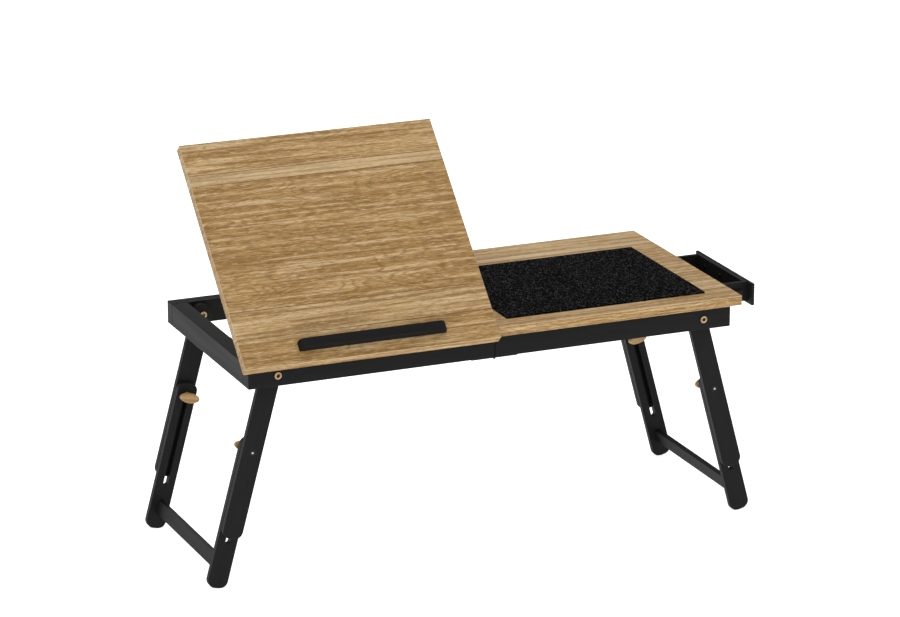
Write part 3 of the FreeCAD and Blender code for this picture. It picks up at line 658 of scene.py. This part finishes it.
oxide, oxide_tint = (0.022, 0.021, 0.020), (0.040, 0.037, 0.034)
black_oxide = metal("black_oxide", oxide, oxide_tint, 0.46, (900.0, 900.0, 900.0))
screw_oxide = metal("screw_oxide", oxide, oxide_tint, 0.46, (900.0, 900.0, 900.0), recess=True)
coat(black_oxide, "left_clamp_bolts", "right_clamp_bolts")
pin_end = bpy.data.objects.new("pin_end", dome(radius=0.0013, rise=0.0003))
for end in leg_turn:
    clamp_at = joints[f"{end}_front_knob_screw"]["pos_m"]
    clamp_low, clamp_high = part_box(f"{end}_clamp_bolts")
    pin_spots = [((clamp_at[0], clamp_low.y, clamp_at[2]), (0, -1, 0)),
                 ((clamp_at[0], clamp_high.y, clamp_at[2]), (0, 1, 0))]
    fastened(f"{end}_clamp_pins", pin_end, pin_spots, f"{end}_upper_legs", zinc, 5)


# Tilt hinges: two zinc-plated butt hinges let into the front rail and the board's underside, with
# three flush screws in each leaf.
coat(zinc, "tilt_hinge_pins")
hinge_screw_margin, hinge_screw_inset = 0.008, 0.0062
rail_spots, board_spots = [], []
for number in (1, 2):
    coat(zinc, f"tilt_hinge_fixed_leaf_{number}", f"tilt_hinge_moving_leaf_{number}")
    leaf_low, leaf_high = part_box(f"tilt_hinge_fixed_leaf_{number}")
    y = leaf_high.y - hinge_screw_inset
    for x in (leaf_low.x + hinge_screw_margin, (leaf_low.x + leaf_high.x) / 2,
              leaf_high.x - hinge_screw_margin):
        rail_spots.append(((x, y, leaf_high.z), up))
        board_spots.append((raised((x, y, board_bottom)), board_down))
fastened("tilt_hinge_rail_screws", flush_screw, rail_spots, "left_frame", screw_zinc, 7)
fastened("tilt_hinge_board_screws", flush_screw, board_spots, "tilt_panel", screw_zinc, 9)


# Fold hinges: small blackened steel hinges under the long rails, on which the right half folds down.
# Each leaf lies under its rail and is held by two flush screws.
coat(black_oxide, "fold_hinge_pins")
leaf_thickness = 0.0012
fold_screw_reaches = (0.006, 0.018)
for end, inwards in (("left", 1), ("right", -1)):
    fold_spots = []
    for bank in ("front", "rear"):
        coat(black_oxide, f"fold_hinge_{end}_leaf_{bank}")
        leaf_low, leaf_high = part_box(f"fold_hinge_{end}_leaf_{bank}")
        tip = leaf_low.x if end == "left" else leaf_high.x
        for reach in fold_screw_reaches:
            place = (tip + inwards * reach, (leaf_low.y + leaf_high.y) / 2, leaf_high.z - leaf_thickness)
            fold_spots.append((place, down))
    fastened(f"fold_hinge_{end}_screws", flush_screw, fold_spots, f"{end}_frame", screw_oxide,
             13, 0.95)


# Tie strap: a zinc-plated steel strip let into the tops of the left half's rails. It ties the seam rail
# to the long rails over the folded legs, and is held by four flush screws.
coat(zinc, "tie_strap")
strap_low, strap_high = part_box("tie_strap")
strap_x, strap_y = (strap_low.x + strap_high.x) / 2, (strap_low.y + strap_high.y) / 2
strap_end, strap_middle = 0.007, 0.045
strap_spots = [((strap_x, y, strap_high.z), up) for y in (strap_low.y + strap_end, strap_y - strap_middle,
                                                          strap_y + strap_middle, strap_high.y - strap_end)]
fastened("tie_strap_screws", flush_screw, strap_spots, "left_frame", screw_zinc, 17, 0.95)


# Prop: two bent steel rods that turn in moulded brackets under the board and share a foot bar, which
# stands in the notches of two moulded racks screwed inside the left frame.
def moulded(name, base):
    """Matt plastic with a fine grit."""
    finish = Finish(name)
    point = finish.where()
    grit = finish.noise(point, 1900.0, 2.0, 0.6)
    flow = finish.noise(point, 60.0, 2.0, 0.5, 0.5)
    colour = finish.mixed(flow.spread(0.3, 0.8) * 0.5, base, [c * 1.6 for c in base])
    return finish.done(Base_Color=colour, Roughness=grit.spread(0.3, 0.7, 0.42, 0.58),
                       Normal=finish.relief(grit, 0.00006, 0.7))


coat(zinc, "prop_foot_bar", "prop_arm_outer", "prop_arm_inner")
plastic = moulded("black_plastic", (0.018, 0.018, 0.019))
coat(plastic, "prop_bracket_outer", "prop_bracket_inner", "tilt_rack_outer", "tilt_rack_inner")
pan_head = screw_head(radius=0.0027, rise=0.0010, arm_reach=0.0015, arm_half=0.00038)
pan_screw = bpy.data.objects.new("pan_screw", pan_head)
rack_screw_margin, rack_screw_height = 0.011, 0.0042
rack_spots = []
for rack, side in (("outer", 1), ("inner", -1)):
    rack_low, rack_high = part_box(f"tilt_rack_{rack}")
    face = rack_high.x if side == 1 else rack_low.x
    for y in (rack_low.y + rack_screw_margin, rack_high.y - rack_screw_margin):
        rack_spots.append(((face, y, rack_low.z + rack_screw_height), (side, 0, 0)))
fastened("tilt_rack_screws", pan_screw, rack_spots, "left_frame", screw_zinc, 19)


# Drawer: a shallow black-stained box on side tongues, with a thin front panel wider than the box that
# is screwed on from inside with blackened screws.
coat(black_y, "drawer_front", "drawer_inner_wall", "drawer_back_wall")
coat(black_x, "drawer_side_front", "drawer_side_rear")
floor_black = (0.0105, 0.0105, 0.0108)
coat(lacquer("black_drawer_floor", floor_black, Finish.where, long_axis=1, gloss=0.52), "drawer_bottom")
wall_low, wall_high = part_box("drawer_inner_wall")
drawer_screw_step, drawer_screw_lift = 0.042, 0.002
wall_y, wall_z = (wall_low.y + wall_high.y) / 2, (wall_low.z + wall_high.z) / 2 + drawer_screw_lift
drawer_spots = [((wall_low.x, wall_y + step * drawer_screw_step, wall_z), (-1, 0, 0))
                for step in (-1, 0, 1)]
fastened("drawer_front_screws", pan_screw, drawer_spots, "drawer", screw_oxide, 23, 1.1)


# Drawer runners: black-stained strips, each with a groove for a tongue of the drawer, screwed up into
# the fixed top on both sides of it.
runner_inner_margin, runner_outer_margin = 0.020, 0.030
runner_spots = []
for bank in ("front", "rear"):
    coat(black_x, f"drawer_runner_{bank}")
    runner_low, runner_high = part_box(f"drawer_runner_{bank}")
    y = (runner_low.y + runner_high.y) / 2
    for x in (runner_low.x + runner_inner_margin, (runner_low.x + runner_high.x) / 2,
              runner_high.x - runner_outer_margin):
        runner_spots.append(((x, y, runner_low.z), down))
fastened("drawer_runner_screws", pan_screw, runner_spots, "right_frame", screw_zinc, 29, 1.1)


# Floor, light and camera: a pale studio floor that stays white, soft round lights from the left, the
# right and above, and a camera in the photograph's view.
def studio_floor(half):
    """A square of pale floor that glows a little, so that it stays white under soft light."""
    sketch = bmesh.new()
    corners = ((-half, -half), (half, -half), (half, half), (-half, half))
    sketch.faces.new([sketch.verts.new((x, y, 0.0)) for x, y in corners])
    mesh = mesh_of(sketch)
    finish = Finish("pale_floor")
    cloud = finish.noise(finish.where(), 3.0, 2.0, 0.5)
    colour = finish.mixed(cloud.spread(0.3, 0.7), (0.880, 0.880, 0.880), (0.900, 0.900, 0.900))
    mesh.materials.append(finish.done(Base_Color=colour, Roughness=0.9, Specular_IOR_Level=0.05,
                                      Emission_Color=(1.0, 1.0, 1.0, 1.0), Emission_Strength=0.75))
    floor = bpy.data.objects.new("floor", mesh)
    bpy.context.scene.collection.objects.link(floor)


def area_light(name, place, aim, size, power):
    """A round soft light at a place, turned to what it aims at."""
    light = bpy.data.lights.new(name, "AREA")
    light.shape = "DISK"
    light.size = size
    light.energy = power
    lamp = bpy.data.objects.new(name, light)
    lamp.location = place
    lamp.rotation_euler = (Vector(aim) - Vector(place)).to_track_quat("-Z", "Y").to_euler()
    bpy.context.scene.collection.objects.link(lamp)


studio_floor(half=14.0)
area_light("key", (-1.3, -1.6, 2.6), (0.0, 0.0, 0.3), 1.8, 24.0)
area_light("fill", (2.2, -2.2, 1.6), (0.0, 0.0, 0.3), 2.2, 12.0)
area_light("top", (0.2, 0.8, 2.8), (0.0, 0.0, 0.2), 2.0, 24.0)

world = bpy.data.worlds.new("studio")
bpy.context.scene.world = world
world.use_nodes = True
world.node_tree.nodes["Background"].inputs[0].default_value = (1.0, 1.0, 1.0, 1.0)
world.node_tree.nodes["Background"].inputs[1].default_value = 0.55
bpy.context.scene.view_settings.view_transform = "Standard"

camera_data = bpy.data.cameras.new("camera")
camera_data.sensor_width = 36.0
camera_data.lens = 165.9
camera_data.clip_end = 100.0
camera = bpy.data.objects.new("camera", camera_data)
bpy.context.scene.collection.objects.link(camera)
bpy.context.scene.camera = camera
azimuth, elevation, distance = math.radians(-23.107), math.radians(17.446), 5.0922
camera_aim = Vector((-0.012399, -0.003406, 0.276000))
level = math.cos(elevation)
back = Vector((math.sin(azimuth) * level, -math.cos(azimuth) * level, math.sin(elevation)))
camera.location = camera_aim + back * distance
camera.rotation_euler = (-back).to_track_quat("-Z", "Y").to_euler()
